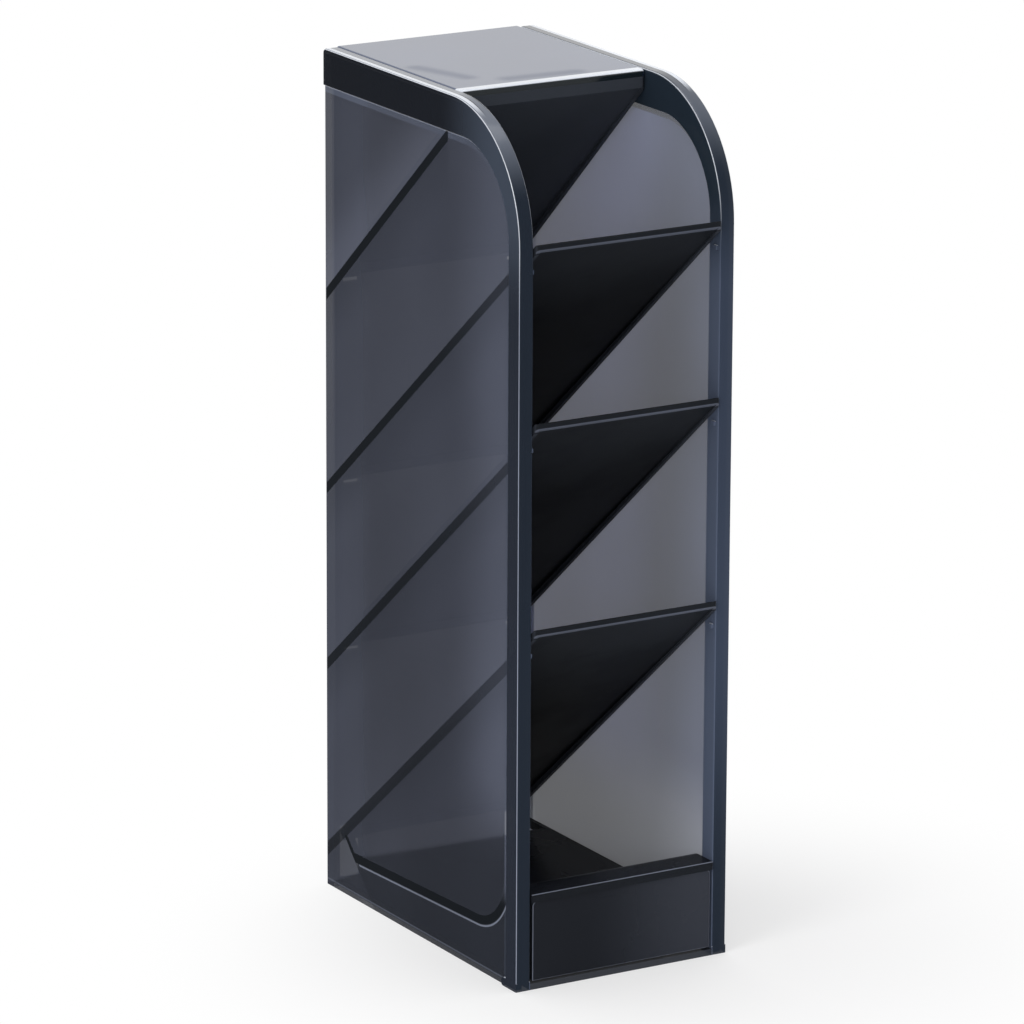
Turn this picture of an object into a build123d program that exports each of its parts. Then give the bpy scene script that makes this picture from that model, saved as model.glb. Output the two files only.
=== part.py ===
from build123d import *
import os
from math import cos, radians, sin, tan

# Pen organizer of translucent plastic: two side panels in curved rims hold
# slanted dividers, a bottom tray, a back, a base and a top.
# Millimetres. X to the right, Y to the back, Z up.
# The origin is the middle of the footprint, on the table.

# Overall size. The height follows from the pitches further down.
width = 68.0
depth = 108.0

# Sheets
side_wall = 2.0
back_wall = 2.0
base_wall = 1.8
top_wall = 2.0
divider_wall = 1.6
tray_wall = 1.6

# Rims: channels that hold the top and front edges of the side panels
rim_width = 4.5
rim_skin = 0.8
rim_web = 1.6
rim_front_depth = 5.8
rim_top_depth = 10.5
rim_outer_radius = 36.0
rim_inner_radius = 25.0
rim_rear_radius = 1.4
rim_edge_round = 0.6
rim_window_round = 0.3
foot_depth = 8.0
foot_height = 2.4
foot_round = 1.0

# Places of the sheets that run across
lip_proud = 1.2
back_recess = 1.4
mouth_depth = 39.5

# Slanted dividers
divider_angle = 39.0
divider_flange_depth = 3.2
divider_flange_wall = 1.2
divider_edge_round = 0.4
divider_corner_round = 1.0
tab_width = 5.0
tab_inset = 0.3

# Heights of the compartments, measured up the back panel
lower_pitch = 57.8
upper_pitch = 49.4
roof_pitch = 59.1
roof_angle = 41.6
roof_lip_rise = 1.0
roof_lip_wall = 1.6

# Bottom tray
tray_floor_height = 12.4
tray_floor_inset = 15.6
tray_leg_rise = 3.2
tray_ledge_height = 27.7
tray_ledge_run = 9.7
tray_ramp_angle = 56.0
tray_ramp_straight = 0.4
tray_brow_radius = 5.0
tray_bend_radius = 0.8
tray_flange_depth = 2.5
tray_flange_wall = 1.4
tray_lip_height = 2.4
tray_lip_proud = 0.5
apron_side_inset = 0.5
apron_corner_radius = 1.2
apron_edge_round = 0.3
apron_gap = 0.7

# Nibs on the inner faces of the rims, under the front of each divider
nib_length = 1.6
nib_wall = 1.2
nib_proud = 0.8
nib_setback = 1.2

# Lugs and beads on the inner faces of the side panels
lug_length = 3.2
lug_wall = 1.4
lug_proud = 2.8
lug_inset = 12.4
bead_wall = 1.0
bead_proud = 1.0

# Lid skirts and front corners of the top panel
skirt_depth = 4.0
skirt_wall = 1.2
top_front_round = 0.8
top_corner_radius = 1.6

# Clearances
running_clearance = 0.3
seat_clearance = 0.2
cut_margin = 1.0

# Values that follow from the sizes
front_y = -depth / 2
back_y = depth / 2
side_outer_x = width / 2 - rim_skin
side_inner_x = side_outer_x - side_wall
rim_inner_x = width / 2 - rim_width
insert_x = rim_inner_x - running_clearance
lip_y = front_y - lip_proud
back_panel_rear_y = back_y - back_recess
back_panel_front_y = back_panel_rear_y - back_wall
insert_back_y = back_panel_front_y - running_clearance
divider_slope = tan(radians(divider_angle))
roof_slope = tan(radians(roof_angle))
divider_flange_drop = divider_flange_depth / cos(radians(divider_angle))
roof_flange_drop = divider_flange_depth / cos(radians(roof_angle))

# The tray's back legs end square under the lower divider, which sets its height
tray_leg_set = tray_flange_depth * cos(radians(divider_angle))
tray_back_y = insert_back_y - running_clearance - tray_leg_set
tray_leg_run = tray_leg_rise * divider_slope
leg_top_gap = running_clearance / cos(radians(divider_angle))
leg_under_rise = divider_slope * (insert_back_y - tray_back_y)
divider_under_back = tray_floor_height + tray_leg_rise + leg_top_gap - leg_under_rise
lower_back_height = divider_under_back + divider_flange_drop
middle_back_height = lower_back_height + lower_pitch
upper_back_height = middle_back_height + upper_pitch
roof_back_height = upper_back_height + roof_pitch

# The roof's front end carries the top panel, which sets the overall height
roof_front_y = front_y + mouth_depth
roof_run = insert_back_y - roof_front_y
top_under_z = roof_back_height + roof_slope * roof_run + roof_lip_rise
height = top_under_z + top_wall


def upright_sheet(front, back, bottom, top, corner_radius):
    """Outline in the Y-Z plane with its front top corner round."""
    middle = Pos((front + back) / 2, (bottom + top) / 2)
    sheet = middle * Rectangle(back - front, top - bottom)
    corner = sheet.vertices().group_by(Axis.X)[0].sort_by(Axis.Y)[-1]
    return fillet(corner, corner_radius)


def across(outline, x_from, x_to):
    """Solid of a Y-Z outline between two places along X."""
    return extrude(Plane.YZ.offset(x_from) * outline, x_to - x_from)


def block(x_from, x_to, y_from, y_to, z_from, z_to):
    """Plain block between six faces."""
    size = Box(x_to - x_from, y_to - y_from, z_to - z_from)
    return Pos((x_from + x_to) / 2, (y_from + y_to) / 2, (z_from + z_to) / 2) * size


def on_both_sides(solid):
    """A solid and its mirror image across the middle."""
    return solid + mirror(solid, Plane.YZ)


def slanted_strip(front, back, height_at, drop):
    """Outline in the Y-Z plane of a strip that falls towards the back."""
    corners = [
        (front, height_at(front)),
        (back, height_at(back)),
        (back, height_at(back) - drop),
        (front, height_at(front) - drop),
    ]
    return make_face(Polyline(*corners, close=True))


def flanged_outline(front, line, angle):
    """Side view of a slanted plate, with its flanges ended square to the slope."""
    lean = sin(radians(angle))
    fall = cos(radians(angle))
    sheet_foot = line(front) - divider_wall / fall
    below_sheet = divider_flange_depth - divider_wall
    back = insert_back_y
    corners = [
        (front, line(front)),
        (back, line(back)),
        (back, line(back) - divider_flange_depth / fall),
        (front + below_sheet * lean, sheet_foot - below_sheet * fall),
        (front, sheet_foot),
    ]
    return make_face(Polyline(*corners, close=True))


def height_line(back_height, slope):
    """Height of a divider's upper face at any depth."""
    return lambda y: back_height + slope * (insert_back_y - y)


lower_line = height_line(lower_back_height, divider_slope)
middle_line = height_line(middle_back_height, divider_slope)
upper_line = height_line(upper_back_height, divider_slope)
roof_line = height_line(roof_back_height, roof_slope)
divider_lines = [lower_line, middle_line, upper_line]


def rim_inner_outline(extra=0.0):
    """Outline of the space inside a rim's band, open at the back and below."""
    front = front_y + rim_front_depth
    top = height - rim_top_depth
    return upright_sheet(front, back_y + extra, -extra, top, rim_inner_radius)


def make_left_rim():
    """Cane-shaped channel over the panel's front and top edges, with a foot."""
    outer_x = -width / 2
    outline = upright_sheet(front_y, back_y, 0, height, rim_outer_radius)
    rear_corner = outline.vertices().group_by(Axis.X)[-1].sort_by(Axis.Y)[-1]
    outline = fillet(rear_corner, rim_rear_radius)
    rim = across(outline, outer_x, -rim_inner_x)
    front_edges = rim.edges().filter_by(Axis.X, reverse=True)
    outer_side = front_edges.group_by(Axis.X)[0]
    inner_side = front_edges.group_by(Axis.X)[-1]
    path_edges = outer_side + inner_side
    rim_edges = path_edges.filter_by(lambda e: not on_back_or_bottom(e))
    rim = fillet(rim_edges, rim_edge_round)
    inner_space = across(rim_inner_outline(cut_margin), outer_x - cut_margin, 0)
    band = rim - inner_space
    window_edges = new_edges(rim, inner_space, combined=band)
    window_edges = window_edges.filter_by(Axis.X, reverse=True)
    band = fillet(window_edges.group_by(Axis.X)[0], rim_window_round)
    foot_space = block(outer_x, -rim_inner_x, front_y, front_y + foot_depth, 0, foot_height)
    foot_edge = foot_space.edges().filter_by(Axis.X).group_by(Axis.Y)[-1].sort_by(Axis.Z)
    foot = fillet(foot_edge, foot_round)
    slot = across(side_panel_outline(0), -side_outer_x, -side_inner_x)
    return (band + foot - slot) + make_nibs()


def make_nibs():
    """Small nibs on the left rim's inner face that the dividers' fronts rest on."""
    nib_front_y = front_y + nib_setback
    nib_back_y = nib_front_y + nib_length
    nibs = Part()
    for line in divider_lines:
        top = line(nib_back_y) - divider_flange_drop - running_clearance
        nibs += block(
            -rim_inner_x, -rim_inner_x + nib_proud,
            nib_front_y, nib_back_y, top - nib_wall, top,
        )
    return nibs


def on_back_or_bottom(edge):
    """True for an edge that lies whole on the rear end or on the table."""
    middle = edge.center()
    return middle.Y > back_y - 0.01 or middle.Z < 0.01


def side_panel_outline(clearance):
    """Outline of a side panel, or of the slot that takes it."""
    inset = rim_web + clearance
    radius = rim_outer_radius - inset
    return upright_sheet(front_y + inset, back_y, 0, height - inset, radius)


def make_tray_lug():
    """Round-bottomed lug on the left side panel, under the back of the tray."""
    top = tray_floor_height - tray_flange_depth - running_clearance
    middle_y = insert_back_y - lug_inset
    lug = block(
        -side_inner_x, -side_inner_x + lug_proud,
        middle_y - lug_length / 2, middle_y + lug_length / 2, top - lug_wall, top,
    )
    lower_edges = lug.edges().filter_by(Axis.X).group_by(Axis.Z)[0]
    return fillet(lower_edges, lug_wall / 2)


def make_beads():
    """Low beads on the left side panel that hold the back panel and the base."""
    bead_x = -side_inner_x + bead_proud
    bottom = foot_notch_top()
    top = height - rim_top_depth
    front_bead = block(
        -side_inner_x, bead_x,
        back_panel_front_y - bead_wall, back_panel_front_y, bottom, top,
    )
    rear_bead = block(
        -side_inner_x, bead_x,
        back_panel_rear_y, back_y, bottom, top,
    )
    base_bead = block(
        -side_inner_x, bead_x,
        front_y + foot_depth, back_panel_front_y, base_wall, base_wall + bead_wall,
    )
    return front_bead + rear_bead + base_bead


def make_left_side_panel():
    """Side panel with the lug and beads of its inner face."""
    panel = across(side_panel_outline(seat_clearance), -side_outer_x, -side_inner_x)
    return panel + make_tray_lug() + make_beads()


def foot_notch_top():
    """Height of the open notches at the foot of the back panel."""
    return lower_line(back_panel_front_y) + running_clearance


def make_back_panel():
    """Back panel, open at both lower corners, with slots for the other tabs."""
    panel = block(
        -side_inner_x, side_inner_x,
        back_panel_front_y, back_panel_rear_y, base_wall, top_under_z,
    )
    rim_cheek = block(
        rim_inner_x, side_inner_x + cut_margin,
        back_panel_front_y - cut_margin, back_panel_rear_y + cut_margin,
        height - rim_top_depth, height,
    )
    foot_notch = block(
        insert_x - tab_width - running_clearance, side_inner_x + cut_margin,
        back_panel_front_y - cut_margin, back_panel_rear_y + cut_margin,
        base_wall - cut_margin, foot_notch_top(),
    )
    panel = panel - on_both_sides(rim_cheek) - on_both_sides(foot_notch)
    tabs = [
        (middle_line, divider_flange_drop),
        (upper_line, divider_flange_drop),
        (roof_line, roof_flange_drop),
    ]
    for line, drop in tabs:
        slot_top = line(back_panel_front_y) + running_clearance
        slot_bottom = line(back_panel_rear_y) - drop - running_clearance
        slot = block(
            insert_x - tab_width - running_clearance, insert_x + running_clearance,
            back_panel_front_y - cut_margin, back_panel_rear_y + cut_margin,
            slot_bottom, slot_top,
        )
        panel = panel - on_both_sides(slot)
    return panel


def make_base_panel():
    """Base between the side panels, drawn in between the feet of the rims."""
    rear = block(
        -side_inner_x, side_inner_x,
        front_y + foot_depth, back_panel_rear_y, 0, base_wall,
    )
    tongue = block(-rim_inner_x, rim_inner_x, front_y, front_y + foot_depth, 0, base_wall)
    return rear + tongue


def make_top_panel():
    """Lid between the rims, with a round front edge and two locating skirts."""
    lid = block(-rim_inner_x, rim_inner_x, roof_front_y, back_y, top_under_z, height)
    corners = lid.edges().filter_by(Axis.Z).group_by(Axis.Y)[0]
    lid = fillet(corners, top_corner_radius)
    front_top = lid.faces().sort_by(Axis.Z)[-1].edges().sort_by(Axis.Y)[0:3]
    lid = fillet(front_top, top_front_round)
    skirt_front = roof_front_y + (skirt_depth + roof_flange_drop) / roof_slope
    skirt = block(
        rim_inner_x - skirt_wall, rim_inner_x,
        skirt_front, back_panel_front_y, top_under_z - skirt_depth, top_under_z,
    )
    return lid + on_both_sides(skirt)


def make_tab(line, angle):
    """Rear tab on the right of a slanted plate, ended square to its slope."""
    lean = divider_flange_depth * sin(radians(angle))
    fall = divider_flange_depth * cos(radians(angle))
    root_drop = divider_flange_depth / cos(radians(angle))
    root_y = insert_back_y - cut_margin
    end_y = back_y - tab_inset
    outline = Polyline(
        (root_y, line(root_y)),
        (end_y, line(end_y)),
        (end_y - lean, line(end_y) - fall),
        (root_y, line(root_y) - root_drop),
        close=True,
    )
    return across(make_face(outline), insert_x - tab_width, insert_x)


def make_slanted_plate(line, front, angle):
    """Slanted sheet, turned down at its sides and back, with two rear tabs."""
    plate = across(flanged_outline(front, line, angle), -insert_x, insert_x)
    front_face = plate.faces().sort_by(Axis.Y)[0]
    top_edge = front_face.edges().sort_by(Axis.Z)[-1]
    plate = fillet(top_edge, divider_edge_round)
    sheet_drop = divider_wall / cos(radians(angle))
    under_sheet = lambda y: line(y) - sheet_drop
    hollow_x = insert_x - divider_flange_wall
    hollow_back = insert_back_y - divider_flange_wall
    hollow = across(
        slanted_strip(front - cut_margin, hollow_back, under_sheet, divider_flange_depth * 2),
        -hollow_x, hollow_x,
    )
    return (plate - hollow) + on_both_sides(make_tab(line, angle))


def round_front_corners(plate, front):
    """The plate with the two front corners of its plan rounded."""
    plan = block(-insert_x, insert_x, front, back_y, 0, height)
    corners = plan.edges().filter_by(Axis.Z).group_by(Axis.Y)[0]
    return plate & fillet(corners, divider_corner_round)


def make_divider(line):
    """One removable divider."""
    plate = make_slanted_plate(line, lip_y, divider_angle)
    return round_front_corners(plate, lip_y)


def make_roof_plate():
    """Fixed slanted roof of the upper compartment, whose raised lip carries the lid."""
    plate = make_slanted_plate(roof_line, roof_front_y, roof_angle)
    lip_back_y = roof_front_y + roof_lip_wall
    lip = block(
        -insert_x, insert_x, roof_front_y, lip_back_y, roof_line(lip_back_y), top_under_z,
    )
    return round_front_corners(plate + lip, roof_front_y)


def tray_band(path, wall):
    """Outline of a band of material under the tray's upper surface."""
    return make_face(offset(path, amount=wall, side=Side.LEFT, closed=True))


def make_bottom_tray():
    """Scoop-shaped tray: floor, ramp, ledge, lip and apron between side flanges."""
    ledge_rise = tray_ledge_height - tray_floor_height
    turn = 1 - cos(radians(tray_ramp_angle))
    curve_rise = ledge_rise - tray_ramp_straight * sin(radians(tray_ramp_angle))
    ramp_radius = curve_rise / turn - tray_brow_radius
    brow_y = front_y + tray_ledge_run
    ramp_run = ledge_rise / tan(radians(tray_ramp_angle))
    leg_top = (tray_back_y, tray_floor_height + tray_leg_rise)
    leg_foot = (tray_back_y - tray_leg_run, tray_floor_height)
    ramp_foot = (brow_y + ramp_run, tray_floor_height)
    brow = (brow_y, tray_ledge_height)
    front_edge = (front_y, tray_ledge_height)
    surface = FilletPolyline(
        leg_top, leg_foot, ramp_foot, brow, front_edge,
        radius=[tray_bend_radius, ramp_radius, tray_brow_radius],
    )
    flange = across(tray_band(surface, tray_flange_depth), insert_x - tray_flange_wall, insert_x)
    sheet = across(tray_band(surface, tray_wall), -insert_x, insert_x)
    floor_back_y = insert_back_y - tray_floor_inset
    behind_floor = block(
        -insert_x, insert_x, floor_back_y, back_y, 0, tray_ledge_height,
    )
    return (sheet - behind_floor) + on_both_sides(flange) + make_apron()


def make_apron():
    """Front wall of the tray, flush with the rims, with its lip proud at the top."""
    lip_under = tray_ledge_height - tray_lip_height
    apron_bottom = base_wall + apron_gap
    apron_back_y = front_y + tray_wall
    lip = block(
        -insert_x, insert_x, front_y - tray_lip_proud, apron_back_y,
        lip_under, tray_ledge_height,
    )
    lip_edge = lip.edges().filter_by(Axis.X).group_by(Axis.Y)[0].sort_by(Axis.Z)[-1]
    lip = fillet(lip_edge, divider_edge_round)
    apron_x = insert_x - apron_side_inset
    apron = block(-apron_x, apron_x, front_y, apron_back_y, apron_bottom, lip_under)
    corners = apron.edges().filter_by(Axis.Y).group_by(Axis.Z)[-1]
    apron = fillet(corners, apron_corner_radius)
    outline = apron.faces().sort_by(Axis.Y)[0].edges()
    return fillet(outline, apron_edge_round) + lip


def write(shape, name):
    """Write one node."""
    export_step(shape, "parts/" + name + ".step")


os.makedirs("parts", exist_ok=True)
left_rim = make_left_rim()
left_side_panel = make_left_side_panel()
write(left_rim, "left_rim")
write(mirror(left_rim, Plane.YZ), "right_rim")
write(left_side_panel, "left_side_panel")
write(mirror(left_side_panel, Plane.YZ), "right_side_panel")
write(make_back_panel(), "back_panel")
write(make_base_panel(), "base_panel")
write(make_top_panel(), "top_panel")
write(make_roof_plate(), "roof_plate")
write(make_divider(upper_line), "upper_divider")
write(make_divider(middle_line), "middle_divider")
write(make_divider(lower_line), "lower_divider")
write(make_bottom_tray(), "bottom_tray")
print("overall height", round(height, 2))
print("lip heights", [round(line(lip_y), 1) for line in divider_lines])
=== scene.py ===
from collections import namedtuple
from math import cos, radians, sin

import bpy
from mathutils import Euler, Matrix, Vector

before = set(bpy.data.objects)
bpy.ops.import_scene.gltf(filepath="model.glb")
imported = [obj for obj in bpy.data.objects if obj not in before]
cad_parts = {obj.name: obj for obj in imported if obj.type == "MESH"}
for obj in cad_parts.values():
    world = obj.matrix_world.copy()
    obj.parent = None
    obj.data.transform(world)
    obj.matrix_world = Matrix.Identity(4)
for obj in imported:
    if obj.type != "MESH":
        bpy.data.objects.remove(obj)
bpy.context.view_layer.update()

# Camera: the photograph's viewing angle, in degrees, metres and pixels
IMAGE_SIDE = 1024
SENSOR_WIDTH = 36.0
FOCAL_PIXELS = 6869.0
VIEW_YAW = 30.59
VIEW_PITCH = 15.53
VIEW_ROLL = 0.26
VIEW_DISTANCE = 1.916
VIEW_TARGET = Vector((0.0, 0.0, 0.1225))
TARGET_RIGHT_PIXELS = 12.4
TARGET_UP_PIXELS = 10.6
CLIP_END = 50.0

# Surroundings, in metres and watts. Each softbox has a place, an aim and a size
FLOOR_HALF = 4.0
FLOOR_COLOR = (0.93, 0.93, 0.935, 1.0)
FLOOR_SHADE_PLACE = (0.022, -0.048, 0.0)
FLOOR_FADE_START = 0.04
FLOOR_FADE_END = 0.16
FLOOR_NEAR_WHITE = 0.45
WHITE = (1.0, 1.0, 1.0, 1.0)
AMBIENT_LEVEL = 0.68
SEEN_LEVEL = 1.0
SOFTBOX_WATTS = 6.0
SOFTBOXES = {
    "overhead_softbox": ((0.0, 0.1, 1.5), (0.0, 0.0, 0.15), (1.4, 1.0)),
    "left_softbox": ((-1.4, -0.5, 0.9), (0.0, 0.0, 0.12), (0.6, 0.9)),
    "front_softbox": ((-0.75, -1.7, 0.7), (0.0, 0.0, 0.12), (0.6, 0.6)),
}

# Finishes: linear colours
PANEL_COLOR = (0.054, 0.060, 0.082, 1.0)
# Painted light: the side panels' outer face lighter towards the front
PANEL_FRONT_COLOR = (0.105, 0.117, 0.160, 1.0)
# Painted light on the side panels' outer face above each painted strip
PANEL_PAINTED_LIGHT_COLOR = (0.115, 0.126, 0.170, 1.0)
# Painted light: the side panels' inner faces paler, more so towards the back and low down
INNER_COLOR = (0.145, 0.172, 0.275, 1.0)
INNER_LOW_COLOR = (0.480, 0.510, 0.600, 1.0)
INNER_REAR_COLOR = (0.400, 0.460, 0.800, 1.0)
# Painted light in the side panels' margin beside the rims
MARGIN_COLOR = (0.100, 0.115, 0.160, 1.0)
SHADE_COLOR = (0.004, 0.006, 0.009, 1.0)
BACK_COLOR = (0.050, 0.057, 0.082, 1.0)
BASE_COLOR = (0.026, 0.030, 0.040, 1.0)
LID_COLOR = (0.036, 0.060, 0.135, 1.0)
# Painted shade on the lid's front face
LID_FRONT_COLOR = (0.008, 0.013, 0.017, 1.0)
RIM_COLOR = (0.018, 0.023, 0.036, 1.0)
# Painted light and shade on the rims, the next seven tones: a darker top towards the back, a lighter
# curve, the front faces, the right rim's lighter front, pale inner faces darker at the top, and
# lighter faces that look up
RIM_TOP_COLOR = (0.006, 0.008, 0.013, 1.0)
RIM_CURVE_COLOR = (0.050, 0.064, 0.092, 1.0)
RIM_FRONT_COLOR = (0.019, 0.026, 0.039, 1.0)
RIM_RIGHT_COLOR = (0.042, 0.055, 0.086, 1.0)
RIM_INNER_COLOR = (0.092, 0.114, 0.170, 1.0)
RIM_INNER_TOP_COLOR = (0.020, 0.030, 0.044, 1.0)
RIM_UPPER_COLOR = (0.130, 0.150, 0.195, 1.0)
RIM_SEAM_COLOR = (0.020, 0.026, 0.040, 1.0)
DIVIDER_COLOR = (0.013, 0.0148, 0.0185, 1.0)
# Painted shade on the plates' undersides towards the back
DIVIDER_DEEP_COLOR = (0.0015, 0.0018, 0.0024, 1.0)
ROOF_COLOR = (0.040, 0.046, 0.058, 1.0)
# Painted shade on lip faces that look ahead, and a painted highlight along the lips' lower edge
LIP_COLOR = (0.012, 0.014, 0.018, 1.0)
LIP_LINE_COLOR = (0.085, 0.095, 0.125, 1.0)
# Painted light on the plates' flange faces that look down or sideways
FLANGE_COLOR = (0.050, 0.056, 0.072, 1.0)
TRAY_COLOR = (0.014, 0.016, 0.021, 1.0)
# Painted light on the right half of the tray's apron
APRON_COLOR = (0.036, 0.040, 0.052, 1.0)
# Painted highlights: on the rims' rounds and flat tops, the lid's front bevel, the tray's outline, and
# thin lines on the side panels
EDGE_HIGHLIGHT_COLOR = (0.30, 0.33, 0.42, 1.0)
BRIGHT_HIGHLIGHT_COLOR = (0.78, 0.82, 0.90, 1.0)

# Finishes: how much of the light one face stops, and how glossy it is. Haze comes from handling,
# and the ripple is the moulded surface's own.
PANEL_OPACITY = 0.70
BACK_OPACITY = 0.75
BASE_OPACITY = 0.95
LID_OPACITY = 0.97
RIM_OPACITY = 0.93
DIVIDER_OPACITY = 0.97
TRAY_OPACITY = 0.92
PLASTIC_IOR = 1.45
Gloss = namedtuple("Gloss", "specular roughness haze ripple")
SIDE_GLOSS = Gloss(0.015, 0.12, 0.08, 0.03)
PLAIN_GLOSS = Gloss(0.06, 0.12, 0.06, 0.04)
LID_GLOSS = Gloss(0.30, 0.08, 0.05, 0.03)
RIM_GLOSS = Gloss(0.018, 0.12, 0.05, 0.04)
PLATE_GLOSS = Gloss(0.04, 0.32, 0.08, 0.04)
TRAY_GLOSS = Gloss(0.05, 0.24, 0.08, 0.04)
RIM_COAT_ROUGHNESS = 0.05
LID_COAT = 0.62
LID_COAT_IOR = 1.38
LID_COAT_ROUGHNESS = 0.03

# Moulding marks. Each noise has a scale, a detail and a stretch, and each range is where it counts
FLOW_NOISE = (13.0, 2.0, (1.0, 1.0, 0.4))
FLOW_RANGE = (0.3, 0.7)
FLOW_TONES = (0.86, 1.14)
HAZE_NOISE = (38.0, 5.0, (1.0, 1.0, 1.0))
HAZE_RANGE = (0.42, 0.75)
HAIRLINE_NOISE = (520.0, 2.0, (0.12, 0.12, 1.0))
HAIRLINE_RANGE = (0.64, 0.80)
HAIRLINE_ROUGHNESS = 0.03
RIPPLE_NOISE = (14.0, 0.0, (1.0, 1.0, 0.5))
RIPPLE_DEPTH = 0.0002
OPACITY_DRIFT = 0.03

# Side panels, in metres: their inner faces, the window that the rims leave open with its margin of
# painted light and its painted highlight line, where the painted light changes, and a painted
# highlight line near the foot. Each pair is a start and an end.
INNER_FACE = 0.0317
WINDOW_FRONT = -0.0482
WINDOW_TOP = 0.2346
WINDOW_RADIUS = 0.025
WINDOW_MARGIN = 0.0022
WINDOW_LINE = 0.0005
WINDOW_LINE_SHARE = 0.8
MARGIN_END = -0.8
FRONT_LIGHT_DEPTHS = (WINDOW_FRONT, -0.012)
FRONT_LIGHT_HEIGHTS = (0.030, 0.060)
INNER_REAR_DEPTHS = (-0.030, 0.015)
INNER_LOW_HEIGHTS = (0.022, 0.056)
FOOT_LINE = 0.0018
FOOT_LINE_SHARE = 0.22
THIN_LINE = (0.0001, 0.0004)
REAR_STRIP_START = 0.0502
REAR_STRIP_HEIGHTS = (0.02, 0.20)
REAR_STRIP_STOPS = (0.27, 0.10)
NEAR_REAR_DEPTHS = (0.026, 0.036)
NEAR_REAR_STOPS = 0.2
SHADE_STOPS = 0.30

# Painted shade and light on a side panel's outer face, in metres, standing for what shows through it,
# at the places that the photograph shows. First the slanted plates' flanges, from the lowest: the
# slope in degrees, the middle and half width square to it, the front end, how dark the painted strip
# is, and how much light is painted on the wall above it.
PLATE_FRONT = -0.0552
ROOF_FRONT = -0.0145
STRIP_BACK = 0.0537
SEAT_STRIPS = (
    (38.7, 0.04198, 0.00170, PLATE_FRONT, 0.85, 0.12),
    (39.0, 0.08520, 0.00146, PLATE_FRONT, 0.95, 0.08),
    (39.1, 0.12556, 0.00136, PLATE_FRONT, 0.99, 0.08),
    (40.8, 0.16727, 0.00139, ROOF_FRONT, 1.0, 0.60),
)
STRIP_EDGE = (-0.0002, 0.0001)
STRIP_SHADE_REACH = 0.016
STRIP_SHADE_SHARE = 0.26
STRIP_LIGHT_REACH = 0.020
STRIP_FRONT_SHARE = 0.76

# Then the tray, as painted shade: its flange round the corner, its floor, and the base under it, with
# a painted highlight line
TRAY_CORNER_Y = -0.031
TRAY_CORNER_Z = 0.0315
TRAY_BAND_INNER = 0.0152
TRAY_BAND_OUTER = 0.0181
TRAY_TILT = 0.035
TRAY_HEEL = 0.0243
TRAY_HEEL_WIDTH = 0.0022
TRAY_TOP_HEIGHTS = (0.022, 0.030)
TRAY_LEG_HEIGHTS = (0.0175, 0.0185)
TRAY_EDGE = (-0.0002, 0.0002)
TRAY_LINE_OFFSET = 0.0002
TRAY_LINE_SHARE = 0.6
TRAY_FLOOR_SHARE = 0.62
TRAY_UNDER_SHARE = 0.66
FLOOR_FAR_HEIGHT = 0.0267
FLOOR_FAR_SLOPE = 0.367
FLOOR_FAR_EDGE = (-0.0015, 0.0005)
BASE_REAR_Y = 0.0552
BASE_REAR_SLOPE = 0.45
BASE_REAR_EDGE = (-0.001, 0.0005)
BASE_SHARE = 0.50

# Rims, in metres. Each line on a rim's flat top has its start, its end and its tone: the bright
# lines are painted highlights, the dark ones seams
RIM_INNER_FACE = 0.0297
RIM_OUTER_LINE = 0.032
RIM_TOP_LINES = (
    (0.0290, 0.0299, BRIGHT_HIGHLIGHT_COLOR),
    (0.0299, 0.0303, RIM_SEAM_COLOR),
    (0.0318, 0.0322, RIM_SEAM_COLOR),
    (0.0322, 0.0338, BRIGHT_HIGHLIGHT_COLOR),
)
RIM_CURVE_HEIGHTS = (0.19, 0.22)
RIM_LINE_HEIGHTS = (0.202, 0.226)
RIM_LINE_SHARE = 0.8
RIM_ROUND_SHARE = 0.85
RIM_DARK_DEPTHS = (-0.043, -0.010)
RIM_RIGHT_HEIGHTS = (0.02, 0.09)
RIM_RIGHT_SHADE = 0.65

# Dividers, roof and tray, in metres
DIVIDER_ANGLE = 39.0
DIVIDER_SEATS = (0.04427, 0.08919, 0.12758)
LIP_REACH = 0.0008
LIP_LINE = (0.0001, 0.0003)
ROOF_START = 0.148
DEEP_DEPTHS = (-0.050, -0.005)
FLANGE_INNER = 0.02795
FLANGE_SIDE_SHARE = 0.4
TRAY_FRONT = -0.0545
TRAY_LIP_BOTTOM = 0.0253
TRAY_OUTLINE_SHARE = 0.5
APRON_LIGHT_ACROSS = (-0.012, 0.03)

# Lid, in metres: the front bevel with its painted highlight, and the streaks behind it where less
# coat stands in for dark reflections, a painted reflection, each with a start, a run and a reach
LID_BEVEL = (-0.0117, -0.0113)
LID_STREAKS = (
    ((-0.0245, 0.018, 0.0), (0.0055, -0.018, 0.0), 0.0048),
    ((-0.010, -0.007, 0.0), (0.021, -0.001, 0.0), 0.0050),
)
STREAK_SHARE = 0.8

# Which way a face looks: one part of its normal, from where a mask starts to where it ends
LOOKS_AHEAD = (-0.9, -0.5)
LIP_LOOKS_AHEAD = (-0.95, -0.7)
LID_LOOKS_AHEAD = (-0.95, -0.75)
LOOKS_DOWN = (-0.9, -0.6)
UNDERSIDE = (-0.6, -0.3)
LOOKS_UP = (0.35, 0.95)
BEVEL_LOOKS_UP = (0.15, 0.4)
FLAT_TOP = (0.90, 0.99)
LOOKS_SIDEWAYS = (0.6, 0.95)
RIM_ROUND = (0.70, 0.98)
TRAY_ROUND = (0.3, 0.9)

# Sockets: their kinds in a node group, and where a Mix node keeps those for colours
NUMBER = "NodeSocketFloat"
VECTOR = "NodeSocketVector"
COLOR = "NodeSocketColor"
MIX_FIRST = 6
MIX_SECOND = 7
MIX_RESULT = 2


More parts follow.
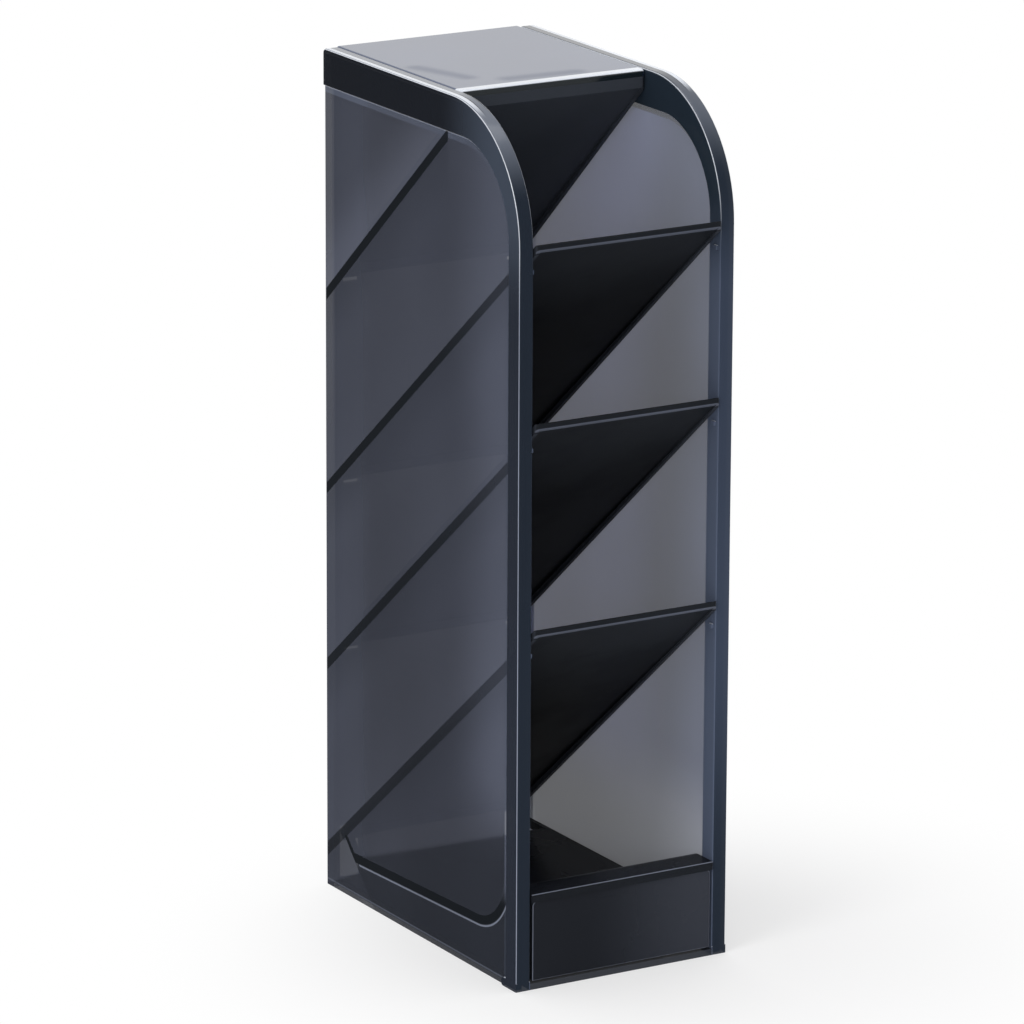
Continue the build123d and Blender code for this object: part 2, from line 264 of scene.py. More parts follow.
def make_camera():
    """Camera turned by yaw, pitch and roll about the middle of the organizer."""
    data = bpy.data.cameras.new("photo_camera")
    data.sensor_width = SENSOR_WIDTH
    data.lens = FOCAL_PIXELS / IMAGE_SIDE * SENSOR_WIDTH
    data.clip_end = CLIP_END
    camera = bpy.data.objects.new("photo_camera", data)
    bpy.context.collection.objects.link(camera)
    facing = Euler((radians(90 - VIEW_PITCH), 0.0, radians(-VIEW_YAW)), "XYZ").to_matrix()
    turn = facing @ Matrix.Rotation(radians(VIEW_ROLL), 3, "Z")
    pixel = VIEW_DISTANCE / FOCAL_PIXELS
    offset = Vector((-TARGET_RIGHT_PIXELS * pixel, -TARGET_UP_PIXELS * pixel, VIEW_DISTANCE))
    place = Matrix.Translation(VIEW_TARGET + turn @ offset)
    camera.matrix_world = place @ turn.to_4x4()
    bpy.context.scene.camera = camera


def make_softboxes():
    """Oblong area lamps, each at its place and aimed at a point."""
    for name, (place, aim, size) in SOFTBOXES.items():
        data = bpy.data.lights.new(name, "AREA")
        data.shape = "RECTANGLE"
        data.size, data.size_y = size
        data.energy = SOFTBOX_WATTS
        lamp = bpy.data.objects.new(name, data)
        bpy.context.collection.objects.link(lamp)
        lamp.location = place
        direction = Vector(aim) - Vector(place)
        lamp.rotation_euler = direction.to_track_quat("-Z", "Y").to_euler()


class Graph:
    """Short calls for adding and linking nodes in one node tree."""

    def __init__(self, tree):
        self.nodes = tree.nodes
        self.links = tree.links

    def put(self, socket, value):
        """Links a socket or sets a constant."""
        if isinstance(value, bpy.types.NodeSocket):
            self.links.new(value, socket)
        else:
            socket.default_value = value

    def math(self, operation, first, second=0.0, clamp=False):
        """Result of one operation on numbers."""
        node = self.nodes.new("ShaderNodeMath")
        node.operation = operation
        node.use_clamp = clamp
        self.put(node.inputs[0], first)
        self.put(node.inputs[1], second)
        return node.outputs[0]

    def chain(self, operation, values):
        """Result of one operation over several numbers."""
        result = values[0]
        for value in values[1:]:
            result = self.math(operation, result, value)
        return result

    def times(self, *values):
        """Product of several numbers. Of masks, it is what lies in all of them."""
        return self.chain("MULTIPLY", values)

    def most(self, *values):
        """Largest of several numbers. Of masks, it is what lies in any of them."""
        return self.chain("MAXIMUM", values)

    def outside(self, mask):
        """What a mask leaves."""
        return self.math("SUBTRACT", 1.0, mask)

    def add(self, first, second):
        """Sum of two numbers."""
        return self.math("ADD", first, second)

    def take(self, first, second):
        """First number less the second."""
        return self.math("SUBTRACT", first, second)

    def amount(self, value):
        """Number without its sign."""
        return self.math("ABSOLUTE", value)

    def past(self, value, limit):
        """Mask of where a number is past a limit."""
        return self.math("GREATER_THAN", value, limit)

    def before(self, value, limit):
        """Mask of where a number is before a limit."""
        return self.math("LESS_THAN", value, limit)

    def reach(self, first, second):
        """Distance from a corner, where only what is beyond it counts."""
        beyond = [self.most(value, 0.0) for value in (first, second)]
        squares = [self.times(value, value) for value in beyond]
        return self.math("SQRT", self.add(*squares))

    def rounding(self, part):
        """Mask of faces that are turned halfway off one axis, from that part of their normal."""
        square = self.times(part, part)
        return self.times(square, self.outside(square), 4.0)

    def step(self, value, low, high, at_low=0.0, at_high=1.0):
        """Smooth step from one level to another."""
        node = self.nodes.new("ShaderNodeMapRange")
        node.interpolation_type = "SMOOTHSTEP"
        self.put(node.inputs["Value"], value)
        self.put(node.inputs["From Min"], low)
        self.put(node.inputs["From Max"], high)
        self.put(node.inputs["To Min"], at_low)
        self.put(node.inputs["To Max"], at_high)
        return node.outputs["Result"]

    def fade(self, value, low, high):
        """Smooth step from one down to zero."""
        return self.step(value, low, high, 1.0, 0.0)

    def vector_math(self, operation, first, second):
        """Outputs of one operation on vectors: Vector, and Value for a distance or a dot product."""
        node = self.nodes.new("ShaderNodeVectorMath")
        node.operation = operation
        self.put(node.inputs[0], first)
        self.put(node.inputs[1], second)
        return node.outputs

    def dot(self, first, second):
        """Dot product of two vectors."""
        return self.vector_math("DOT_PRODUCT", first, second)["Value"]

    def noise(self, place, scale, detail, stretch):
        """Smooth noise at a place, finer along the axes with the larger stretch."""
        mapping = self.nodes.new("ShaderNodeMapping")
        mapping.inputs["Scale"].default_value = stretch
        texture = self.nodes.new("ShaderNodeTexNoise")
        texture.inputs["Scale"].default_value = scale
        texture.inputs["Detail"].default_value = detail
        self.links.new(place, mapping.inputs["Vector"])
        self.links.new(mapping.outputs["Vector"], texture.inputs["Vector"])
        return texture.outputs["Fac"]

    def blend(self, factor, first, second):
        """Colour between two others."""
        node = self.nodes.new("ShaderNodeMix")
        node.data_type = "RGBA"
        self.put(node.inputs[0], factor)
        self.put(node.inputs[MIX_FIRST], first)
        self.put(node.inputs[MIX_SECOND], second)
        return node.outputs[MIX_RESULT]

    def coordinate(self, kind):
        """Place or normal in the part's own frame, as one vector."""
        return self.nodes.new("ShaderNodeTexCoord").outputs[kind]

    def axes(self, kind):
        """Place or normal in the part's own frame, axis by axis."""
        node = self.nodes.new("ShaderNodeSeparateXYZ")
        self.links.new(self.coordinate(kind), node.inputs[0])
        return node.outputs

    def group(self, tree, **values):
        """Outputs of a group with some of its inputs set or linked."""
        node = self.nodes.new("ShaderNodeGroup")
        node.node_tree = tree
        for label, value in values.items():
            self.put(node.inputs[label], value)
        return node.outputs

    def seen_rays(self):
        """One on camera, glossy and transmission rays."""
        path = self.nodes.new("ShaderNodeLightPath").outputs
        return self.most(path["Is Camera Ray"], path["Is Glossy Ray"], path["Is Transmission Ray"])

    def mix_shaders(self, factor, first, second, output_kind):
        """Links a mix of two shaders to a new output node."""
        mix = self.nodes.new("ShaderNodeMixShader")
        output = self.nodes.new(output_kind)
        self.put(mix.inputs["Fac"], factor)
        self.put(mix.inputs[1], first.outputs[0])
        self.put(mix.inputs[2], second.outputs[0])
        self.put(output.inputs["Surface"], mix.outputs[0])


def make_world():
    """White where it is seen or mirrored, and a softer even light elsewhere."""
    world = bpy.data.worlds.new("studio")
    bpy.context.scene.world = world
    world.use_nodes = True
    graph = Graph(world.node_tree)
    graph.nodes.clear()
    ambient, seen = [graph.nodes.new("ShaderNodeBackground") for _ in range(2)]
    for shader, level in ((ambient, AMBIENT_LEVEL), (seen, SEEN_LEVEL)):
        shader.inputs["Color"].default_value = WHITE
        shader.inputs["Strength"].default_value = level
    graph.mix_shaders(graph.seen_rays(), ambient, seen, "ShaderNodeOutputWorld")


def make_floor_material():
    """Pale matt floor that fades into the white of the surroundings."""
    material = bpy.data.materials.new("pale_floor")
    material.use_nodes = True
    graph = Graph(material.node_tree)
    graph.nodes.clear()
    matt = graph.nodes.new("ShaderNodeBsdfDiffuse")
    matt.inputs["Color"].default_value = FLOOR_COLOR
    white = graph.nodes.new("ShaderNodeEmission")
    white.inputs["Color"].default_value = WHITE
    away = graph.vector_math("DISTANCE", graph.coordinate("Object"), FLOOR_SHADE_PLACE)["Value"]
    fade = graph.step(away, FLOOR_FADE_START, FLOOR_FADE_END, FLOOR_NEAR_WHITE, 1.0)
    share = graph.times(fade, graph.seen_rays())
    graph.mix_shaders(share, matt, white, "ShaderNodeOutputMaterial")
    return material


def make_floor():
    """Large flat floor under the organizer."""
    signs = ((-1, -1), (1, -1), (1, 1), (-1, 1))
    corners = [(x * FLOOR_HALF, y * FLOOR_HALF, 0.0) for x, y in signs]
    mesh = bpy.data.meshes.new("floor")
    mesh.from_pydata(corners, [], [(0, 1, 2, 3)])
    floor = bpy.data.objects.new("floor", mesh)
    bpy.context.collection.objects.link(floor)
    floor.data.materials.append(make_floor_material())


def new_group(name, inputs, outputs):
    """Shader node group with named inputs and outputs, and nothing between them yet."""
    group = bpy.data.node_groups.new(name, "ShaderNodeTree")
    for label, kind, value in inputs:
        socket = group.interface.new_socket(label, in_out="INPUT", socket_type=kind)
        socket.default_value = value
    for label, kind in outputs:
        group.interface.new_socket(label, in_out="OUTPUT", socket_type=kind)
    entry = group.nodes.new("NodeGroupInput").outputs
    leave = group.nodes.new("NodeGroupOutput").inputs
    return group, Graph(group), entry, leave


def make_moulding_group():
    """Marks of moulded gloss plastic: flow bands, haze from handling, hairlines, a soft ripple."""
    group, graph, entry, leave = new_group(
        "moulding_marks",
        [
            ("Color", COLOR, PANEL_COLOR),
            ("Opacity", NUMBER, PANEL_OPACITY),
            ("Drift", NUMBER, OPACITY_DRIFT),
            ("Roughness", NUMBER, PLAIN_GLOSS.roughness),
            ("Haze", NUMBER, PLAIN_GLOSS.haze),
        ],
        [("Color", COLOR), ("Opacity", NUMBER), ("Roughness", NUMBER), ("Height", NUMBER)],
    )
    place = graph.coordinate("Object")
    flow = graph.noise(place, *FLOW_NOISE)
    haze = graph.step(graph.noise(place, *HAZE_NOISE), *HAZE_RANGE)
    hairlines = graph.step(graph.noise(place, *HAIRLINE_NOISE), *HAIRLINE_RANGE)
    shift = graph.times(graph.take(flow, 0.5), entry["Drift"])
    rough = graph.add(entry["Roughness"], graph.times(haze, entry["Haze"]))
    rough = graph.add(rough, graph.times(hairlines, HAIRLINE_ROUGHNESS))
    tinted = graph.nodes.new("ShaderNodeVectorMath")
    tinted.operation = "SCALE"
    graph.put(tinted.inputs[0], entry["Color"])
    graph.put(tinted.inputs["Scale"], graph.step(flow, *FLOW_RANGE, *FLOW_TONES))
    graph.put(leave["Color"], tinted.outputs[0])
    graph.put(leave["Opacity"], graph.math("ADD", entry["Opacity"], shift, clamp=True))
    graph.put(leave["Roughness"], rough)
    graph.put(leave["Height"], graph.noise(place, *RIPPLE_NOISE))
    return group


def make_edge_group():
    """Masks of a rim's rounds, where highlights are painted, and of its faces that look up, where
    light is painted.
    """
    group, graph, entry, leave = new_group(
        "edge_light",
        [
            ("Outer Place", NUMBER, RIM_OUTER_LINE),
            ("Curve Start", NUMBER, RIM_LINE_HEIGHTS[0]),
            ("Curve End", NUMBER, RIM_LINE_HEIGHTS[1]),
        ],
        [("Round", NUMBER), ("Upward", NUMBER)],
    )
    place, normal = graph.axes("Object"), graph.axes("Normal")
    outer = graph.past(graph.amount(place["X"]), entry["Outer Place"])
    high = graph.step(place["Z"], entry["Curve Start"], entry["Curve End"])
    where = graph.most(outer, graph.times(high, RIM_LINE_SHARE))
    rounds = graph.step(graph.rounding(normal["X"]), *RIM_ROUND)
    graph.put(leave["Round"], graph.times(rounds, where))
    graph.put(leave["Upward"], graph.step(normal["Z"], *LOOKS_UP))
    return group


def make_seat_group():
    """Masks of one slanted plate as painted on a side panel: its strip and the shade below it as
    painted shade, and painted light above it.
    """
    group, graph, entry, leave = new_group(
        "seat_strip",
        [
            ("Square", VECTOR, (0.0, 0.0, 1.0)),
            ("Middle", NUMBER, 0.0),
            ("Half", NUMBER, 0.0),
            ("Front", NUMBER, PLATE_FRONT),
            ("Back", NUMBER, STRIP_BACK),
        ],
        [("Mask", NUMBER), ("Shade", NUMBER), ("Light", NUMBER)],
    )
    depth = graph.axes("Object")["Y"]
    above = graph.take(graph.dot(graph.coordinate("Object"), entry["Square"]), entry["Middle"])
    below = graph.times(above, -1.0)
    along = graph.times(graph.past(depth, entry["Front"]), graph.before(depth, entry["Back"]))
    strip = graph.fade(graph.take(graph.amount(above), entry["Half"]), *STRIP_EDGE)
    shade = graph.times(graph.fade(below, 0.0, STRIP_SHADE_REACH), graph.past(below, 0.0))
    light = graph.times(graph.fade(above, 0.0, STRIP_LIGHT_REACH), graph.past(above, 0.0))
    graph.put(leave["Mask"], graph.times(strip, along))
    graph.put(leave["Shade"], graph.times(shade, along))
    graph.put(leave["Light"], light)
    return group


def make_tray_group():
    """Masks of the tray as painted on a side panel: flange, floor and base as painted shade, and a
    painted highlight line.
    """
    group, graph, entry, leave = new_group(
        "tray_through_wall",
        [
            ("Corner Y", NUMBER, TRAY_CORNER_Y),
            ("Corner Z", NUMBER, TRAY_CORNER_Z),
            ("Inner", NUMBER, TRAY_BAND_INNER),
            ("Outer", NUMBER, TRAY_BAND_OUTER),
            ("Tilt", NUMBER, TRAY_TILT),
            ("Heel", NUMBER, TRAY_HEEL),
            ("Heel Width", NUMBER, TRAY_HEEL_WIDTH),
            ("Far Height", NUMBER, FLOOR_FAR_HEIGHT),
            ("Far Slope", NUMBER, FLOOR_FAR_SLOPE),
            ("Rear Y", NUMBER, BASE_REAR_Y),
            ("Rear Slope", NUMBER, BASE_REAR_SLOPE),
        ],
        [("Shade", NUMBER), ("Line", NUMBER)],
    )
    axes = graph.axes("Object")
    depth, height = axes["Y"], axes["Z"]
    behind = graph.take(depth, entry["Corner Y"])
    lifted = graph.add(height, graph.times(graph.most(behind, 0.0), entry["Tilt"]))
    band = graph.reach(graph.take(entry["Corner Z"], lifted), graph.times(behind, -1.0))
    heel = graph.take(graph.take(depth, height), entry["Heel"])
    before_heel = graph.fade(heel, *TRAY_EDGE)
    within_heel = graph.fade(graph.take(heel, entry["Heel Width"]), *TRAY_EDGE)
    low_part = graph.fade(height, *TRAY_TOP_HEIGHTS)
    within = graph.times(graph.fade(graph.take(band, entry["Inner"]), *TRAY_EDGE), before_heel)
    past_band = graph.take(band, entry["Outer"])
    under_band = graph.step(past_band, *TRAY_EDGE)
    line = graph.fade(graph.amount(graph.take(past_band, TRAY_LINE_OFFSET)), *THIN_LINE)
    leg = graph.most(graph.before(heel, 0.0), graph.fade(height, *TRAY_LEG_HEIGHTS))
    flange = graph.take(graph.outside(under_band), within)
    flange = graph.times(flange, within_heel, leg, low_part)
    far = graph.take(entry["Far Height"], graph.times(depth, entry["Far Slope"]))
    under_far = graph.fade(graph.take(height, far), *FLOOR_FAR_EDGE)
    floor = graph.times(within, under_far, TRAY_FLOOR_SHARE)
    under = graph.times(under_band, within_heel, low_part, TRAY_UNDER_SHARE)
    rear = graph.times(graph.take(entry["Rear Y"], depth), entry["Rear Slope"])
    base = graph.fade(graph.take(height, rear), *BASE_REAR_EDGE)
    base = graph.times(base, graph.outside(within_heel), BASE_SHARE)
    graph.put(leave["Shade"], graph.most(flange, floor, under, base))
    graph.put(leave["Line"], graph.times(line, before_heel, low_part))
    return group


def make_margin_group():
    """Mask of a side panel's lighter margin beside the rim, where light is painted."""
    group, graph, entry, leave = new_group(
        "rim_margin",
        [
            ("Front", NUMBER, WINDOW_FRONT),
            ("Top", NUMBER, WINDOW_TOP),
            ("Radius", NUMBER, WINDOW_RADIUS),
            ("Width", NUMBER, WINDOW_MARGIN),
        ],
        [("Mask", NUMBER)],
    )
    place = graph.axes("Object")
    ahead = graph.take(graph.add(entry["Front"], entry["Radius"]), place["Y"])
    above = graph.take(place["Z"], graph.take(entry["Top"], entry["Radius"]))
    beyond = graph.take(graph.reach(ahead, above), entry["Radius"])
    start = graph.times(entry["Width"], -1.0)
    end = graph.times(entry["Width"], MARGIN_END)
    graph.put(leave["Mask"], graph.step(beyond, start, end))
    return group


def make_streak_group():
    """Soft mask along a straight stretch on the lid."""
    group, graph, entry, leave = new_group(
        "soft_streak",
        [
            ("Start", VECTOR, (0.0, 0.0, 0.0)),
            ("Run", VECTOR, (1.0, 0.0, 0.0)),
            ("Reach", NUMBER, 1.0),
        ],
        [("Mask", NUMBER)],
    )
    flat = graph.vector_math("MULTIPLY", graph.coordinate("Object"), (1.0, 1.0, 0.0))["Vector"]
    from_start = graph.vector_math("SUBTRACT", flat, entry["Start"])["Vector"]
    gone, whole = graph.dot(from_start, entry["Run"]), graph.dot(entry["Run"], entry["Run"])
    share = graph.math("DIVIDE", gone, whole, clamp=True)
    nearest = graph.vector_math("MULTIPLY", entry["Run"], share)["Vector"]
    away = graph.vector_math("DISTANCE", from_start, nearest)["Value"]
    mask = graph.fade(graph.math("DIVIDE", away, entry["Reach"]), 0.0, 1.0)
    graph.put(leave["Mask"], graph.times(mask, STREAK_SHARE))
    return group


def start_material(name, gloss):
    """New material of smoke plastic with its graph and its shader."""
    material = bpy.data.materials.new(name)
    material.use_nodes = True
    shader = material.node_tree.nodes["Principled BSDF"]
    shader.inputs["IOR"].default_value = PLASTIC_IOR
    shader.inputs["Specular IOR Level"].default_value = gloss.specular
    return material, Graph(material.node_tree), shader


def finish_surface(graph, shader, moulding, color, opacity, gloss):
    """Puts the moulding marks over a colour and links them, with their height as a bump."""
    marks = graph.group(
        moulding, Color=color, Opacity=opacity, Roughness=gloss.roughness, Haze=gloss.haze,
    )
    bump = graph.nodes.new("ShaderNodeBump")
    bump.inputs["Strength"].default_value = gloss.ripple
    bump.inputs["Distance"].default_value = RIPPLE_DEPTH
    graph.put(bump.inputs["Height"], marks["Height"])
    graph.put(shader.inputs["Base Color"], marks["Color"])
    graph.put(shader.inputs["Alpha"], marks["Opacity"])
    graph.put(shader.inputs["Roughness"], marks["Roughness"])
    graph.put(shader.inputs["Normal"], bump.outputs["Normal"])


def square_to(angle):
    """Direction square to a plate that falls towards the back."""
    return (0.0, sin(radians(angle)), cos(radians(angle)))


def link_seats(graph, seat_strip):
    """Masks of all four slanted plates as painted on a side panel: strips and shade below as painted
    shade, light above as painted light.
    """
    strips, shades, lights = 0.0, 0.0, 0.0
    for angle, middle, half, front, dark, light in SEAT_STRIPS:
        seat = graph.group(
            seat_strip, Square=square_to(angle), Middle=middle, Half=half, Front=front,
        )
        strips = graph.most(graph.times(seat["Mask"], dark), strips)
        shades = graph.most(seat["Shade"], shades)
        lights = graph.most(graph.times(seat["Light"], light), lights)
    deeper = graph.step(graph.axes("Object")["Y"], PLATE_FRONT, 0.0, STRIP_FRONT_SHARE, 1.0)
    return graph.times(strips, deeper), shades, lights


def blend_side_tones(graph, lights, on_inner_face):
    """Slate of a side panel, with painted light: lighter to the front and above the strips, and paler
    within, more so towards the back and low down.
    """
    place = graph.axes("Object")
    near_front = graph.fade(place["Y"], *FRONT_LIGHT_DEPTHS)
    near_front = graph.times(near_front, graph.step(place["Z"], *FRONT_LIGHT_HEIGHTS))
    outer = graph.blend(near_front, PANEL_COLOR, PANEL_FRONT_COLOR)
    # Painted light on the wall above the strips
    outer = graph.blend(lights, outer, PANEL_PAINTED_LIGHT_COLOR)
    inner_rear = graph.step(place["Y"], *INNER_REAR_DEPTHS)
    inner = graph.blend(inner_rear, INNER_COLOR, INNER_REAR_COLOR)
    inner = graph.blend(graph.fade(place["Z"], *INNER_LOW_HEIGHTS), inner, INNER_LOW_COLOR)
    return graph.blend(on_inner_face, outer, inner)


def blend_side_opacity(graph, shade, seen_outside):
    """Opacity of a side panel: more where painted shade is drawn, and towards the back."""
    place = graph.axes("Object")
    rear_strip = graph.past(place["Y"], REAR_STRIP_START)
    rear = graph.times(rear_strip, graph.step(place["Z"], *REAR_STRIP_HEIGHTS, *REAR_STRIP_STOPS))
    near_rear = graph.step(place["Y"], *NEAR_REAR_DEPTHS)
    near_rear = graph.times(near_rear, graph.outside(rear_strip), seen_outside, NEAR_REAR_STOPS)
    added = graph.most(graph.times(shade, SHADE_STOPS), rear, near_rear)
    return graph.add(added, PANEL_OPACITY)


def make_side_finish(moulding, seat_strip, rim_margin, tray_through_wall):
    """Side panels: slate haze outside, painted lighter within, and on the outer face painted shade,
    light and highlight lines that stand for what lies behind.
    """
    material, graph, shader = start_material("smoke_side", SIDE_GLOSS)
    place = graph.axes("Object")
    seen_from_front = graph.outside(graph.nodes.new("ShaderNodeNewGeometry").outputs["Backfacing"])
    inner = graph.before(graph.amount(place["X"]), INNER_FACE)
    seen_outside = graph.times(graph.outside(inner), seen_from_front)
    strips, shades, lights = link_seats(graph, seat_strip)
    color = blend_side_tones(graph, lights, graph.times(inner, seen_from_front))
    # Painted light in the margin beside the rims, and a painted highlight line at the window's edge
    color = graph.blend(graph.group(rim_margin)["Mask"], color, MARGIN_COLOR)
    window_line = graph.group(rim_margin, Width=WINDOW_LINE)["Mask"]
    color = graph.blend(graph.times(window_line, WINDOW_LINE_SHARE), color, EDGE_HIGHLIGHT_COLOR)
    # Painted shade on the outer face: the strips, the shade below them, and the tray and base
    tray = graph.group(tray_through_wall)
    shade = graph.most(strips, graph.times(shades, STRIP_SHADE_SHARE), tray["Shade"])
    shade = graph.times(shade, seen_outside)
    color = graph.blend(shade, color, SHADE_COLOR)
    # Painted highlight lines along the tray and near the foot
    tray_line = graph.times(tray["Line"], seen_outside, TRAY_LINE_SHARE)
    color = graph.blend(tray_line, color, EDGE_HIGHLIGHT_COLOR)
    foot_line = graph.fade(graph.amount(graph.take(place["Z"], FOOT_LINE)), *THIN_LINE)
    color = graph.blend(graph.times(foot_line, FOOT_LINE_SHARE), color, EDGE_HIGHLIGHT_COLOR)
    opacity = blend_side_opacity(graph, shade, seen_outside)
    finish_surface(graph, shader, moulding, color, opacity, SIDE_GLOSS)
    return material


def make_plain_finish(name, moulding, color, opacity):
    """Smoke plastic of one tone."""
    material, graph, shader = start_material(name, PLAIN_GLOSS)
    finish_surface(graph, shader, moulding, color, opacity, PLAIN_GLOSS)
    return material


def make_rim_finish(moulding, edge_light):
    """Rims: deep navy gloss with painted light and shade: a lighter curve and darker top, pale inner
    faces, lighter faces that look up, and painted highlights on the rounds and on lines of the flat
    top beside its dark seams. The right rim's front is painted lighter and its top darker."""
    material, graph, shader = start_material("smoke_rim", RIM_GLOSS)
    shader.inputs["Coat Roughness"].default_value = RIM_COAT_ROUGHNESS
    place, normal = graph.axes("Object"), graph.axes("Normal")
    across = graph.amount(place["X"])
    # Painted light and shade by place and facing: lighter curve, darker top, front faces, the right
    # rim's lighter front, pale inner faces
    curve = graph.step(place["Z"], *RIM_CURVE_HEIGHTS)
    color = graph.blend(curve, RIM_COLOR, RIM_CURVE_COLOR)
    dark = graph.times(curve, graph.step(place["Y"], *RIM_DARK_DEPTHS))
    color = graph.blend(dark, color, RIM_TOP_COLOR)
    right = graph.past(place["X"], 0.0)
    lit_side = graph.times(right, graph.step(place["Z"], *RIM_RIGHT_HEIGHTS), graph.outside(curve))
    front = graph.blend(lit_side, RIM_FRONT_COLOR, RIM_RIGHT_COLOR)
    color = graph.blend(graph.fade(normal["Y"], *LOOKS_AHEAD), color, front)
    inner = graph.blend(curve, RIM_INNER_COLOR, RIM_INNER_TOP_COLOR)
    color = graph.blend(graph.before(across, RIM_INNER_FACE), color, inner)
    # Painted light on faces that look up; painted highlights on the rounds and the flat top's bright
    # lines
    edge = graph.group(edge_light)
    lit_top = graph.outside(graph.times(right, RIM_RIGHT_SHADE))
    color = graph.blend(graph.times(edge["Upward"], lit_top), color, RIM_UPPER_COLOR)
    highlight_tone = graph.blend(curve, EDGE_HIGHLIGHT_COLOR, BRIGHT_HIGHLIGHT_COLOR)
    color = graph.blend(graph.times(edge["Round"], RIM_ROUND_SHARE), color, highlight_tone)
    flat_top = graph.step(normal["Z"], *FLAT_TOP)
    for start, end, tone in RIM_TOP_LINES:
        band = graph.times(flat_top, graph.past(across, start), graph.before(across, end))
        color = graph.blend(band, color, tone)
    finish_surface(graph, shader, moulding, color, RIM_OPACITY, RIM_GLOSS)
    graph.put(shader.inputs["Coat Weight"], graph.most(edge["Round"], edge["Upward"]))
    return material


def make_lid_finish(moulding, soft_streak):
    """Top: the same plastic with a polished skin, a painted highlight on the front bevel, painted
    shade on the front face, and streaks of less coat that stand in for dark reflections, a painted
    reflection.
    """
    material, graph, shader = start_material("smoke_lid", LID_GLOSS)
    shader.inputs["Coat IOR"].default_value = LID_COAT_IOR
    shader.inputs["Coat Roughness"].default_value = LID_COAT_ROUGHNESS
    place, normal = graph.axes("Object"), graph.axes("Normal")
    # Painted highlight on the front bevel, and painted shade on the front face
    bevel = graph.times(graph.step(normal["Z"], *BEVEL_LOOKS_UP), graph.fade(place["Y"], *LID_BEVEL))
    color = graph.blend(bevel, LID_COLOR, BRIGHT_HIGHLIGHT_COLOR)
    painted_dark = graph.fade(normal["Y"], *LID_LOOKS_AHEAD)
    color = graph.blend(painted_dark, color, LID_FRONT_COLOR)
    finish_surface(graph, shader, moulding, color, LID_OPACITY, LID_GLOSS)
    # Streaks of less coat stand in for dark reflections: a painted reflection
    for start, run, reach in LID_STREAKS:
        painted_dark = graph.most(painted_dark, graph.group(soft_streak, Start=start, Run=run, Reach=reach)["Mask"])
    graph.put(shader.inputs["Coat Weight"], graph.times(graph.outside(painted_dark), LID_COAT))
    return material


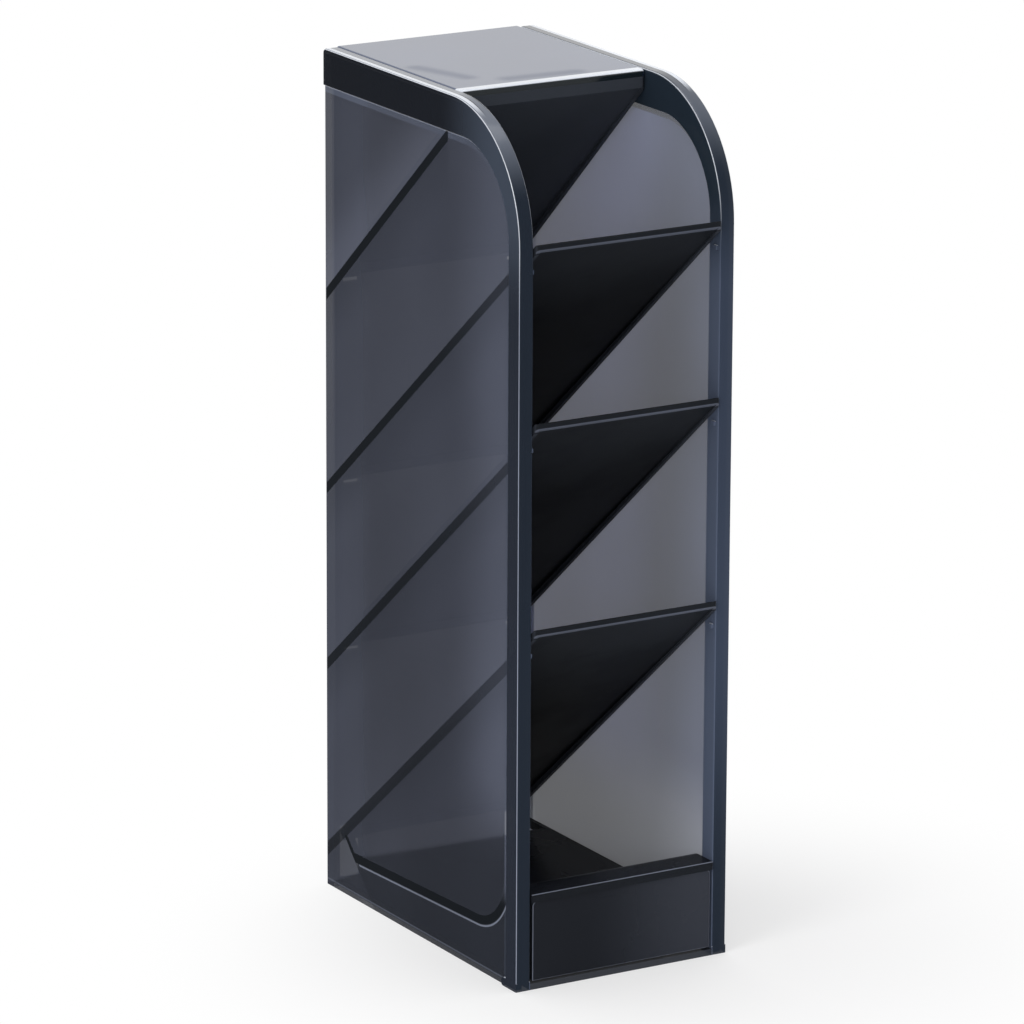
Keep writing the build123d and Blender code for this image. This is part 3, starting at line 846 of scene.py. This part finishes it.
def make_plate_finish(moulding):
    """Dividers and roof: dark sheet, with painted shade deep underneath and on lip faces, a lighter
    roof, a painted highlight on the lips' lower edge and painted light on the flange edges.
    """
    material, graph, shader = start_material("smoke_divider", PLATE_GLOSS)
    place, normal = graph.axes("Object"), graph.axes("Normal")
    height = graph.dot(graph.coordinate("Object"), square_to(DIVIDER_ANGLE))
    # Painted shade on the undersides towards the back
    underside = graph.fade(normal["Z"], *UNDERSIDE)
    deep = graph.times(underside, graph.step(place["Y"], *DEEP_DEPTHS))
    color = graph.blend(deep, DIVIDER_COLOR, DIVIDER_DEEP_COLOR)
    color = graph.blend(graph.past(height, ROOF_START), color, ROOF_COLOR)
    # Painted shade on lip faces that look ahead, and a painted highlight along their lower edge
    lip = graph.before(place["Y"], PLATE_FRONT + LIP_REACH)
    lip_face = graph.times(lip, graph.fade(normal["Y"], *LIP_LOOKS_AHEAD))
    color = graph.blend(lip_face, color, LIP_COLOR)
    offs = [graph.amount(graph.take(height, middle)) for middle in DIVIDER_SEATS]
    lower_edge = graph.most(*[graph.fade(off, *LIP_LINE) for off in offs])
    color = graph.blend(graph.times(lip, lower_edge), color, LIP_LINE_COLOR)
    # Painted light on flange faces that look down or sideways
    side = graph.past(graph.amount(place["X"]), FLANGE_INNER)
    inward = graph.step(graph.amount(normal["X"]), *LOOKS_SIDEWAYS)
    lit = graph.most(graph.fade(normal["Z"], *LOOKS_DOWN), graph.times(inward, FLANGE_SIDE_SHARE))
    color = graph.blend(graph.times(side, lit), color, FLANGE_COLOR)
    finish_surface(graph, shader, moulding, color, DIVIDER_OPACITY, PLATE_GLOSS)
    return material


def make_tray_finish(moulding):
    """Tray: dark sheet with painted shade on the lip faces, painted light on the right half of the
    apron, and a painted highlight on its outline.
    """
    material, graph, shader = start_material("smoke_tray", TRAY_GLOSS)
    place, normal = graph.axes("Object"), graph.axes("Normal")
    # Painted shade on the lip faces, painted light on the apron's right half, and a painted highlight
    # on the outline
    front = graph.before(place["Y"], TRAY_FRONT + LIP_REACH)
    lip = graph.times(front, graph.past(place["Z"], TRAY_LIP_BOTTOM))
    lip_face = graph.times(lip, graph.fade(normal["Y"], *LIP_LOOKS_AHEAD))
    color = graph.blend(lip_face, TRAY_COLOR, LIP_COLOR)
    across = graph.step(place["X"], *APRON_LIGHT_ACROSS)
    color = graph.blend(graph.times(front, across, graph.outside(lip)), color, APRON_COLOR)
    rounds = graph.step(graph.rounding(normal["Y"]), *TRAY_ROUND)
    color = graph.blend(graph.times(front, rounds, TRAY_OUTLINE_SHARE), color, EDGE_HIGHLIGHT_COLOR)
    finish_surface(graph, shader, moulding, color, TRAY_OPACITY, TRAY_GLOSS)
    return material


def dress(names, material):
    """Gives CAD nodes a finish."""
    for name in names:
        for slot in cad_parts[name].material_slots:
            slot.material = material


def make_finishes():
    """Finishes for every node."""
    moulding = make_moulding_group()
    side = make_side_finish(moulding, make_seat_group(), make_margin_group(), make_tray_group())
    plates = ["upper_divider", "middle_divider", "lower_divider", "roof_plate"]
    dress(["left_side_panel", "right_side_panel"], side)
    dress(["back_panel"], make_plain_finish("smoke_back", moulding, BACK_COLOR, BACK_OPACITY))
    dress(["base_panel"], make_plain_finish("smoke_base", moulding, BASE_COLOR, BASE_OPACITY))
    dress(["top_panel"], make_lid_finish(moulding, make_streak_group()))
    dress(["left_rim", "right_rim"], make_rim_finish(moulding, make_edge_group()))
    dress(plates, make_plate_finish(moulding))
    dress(["bottom_tray"], make_tray_finish(moulding))


make_camera()
make_world()
make_floor()
make_softboxes()
make_finishes()
bpy.context.scene.view_settings.view_transform = "Standard"
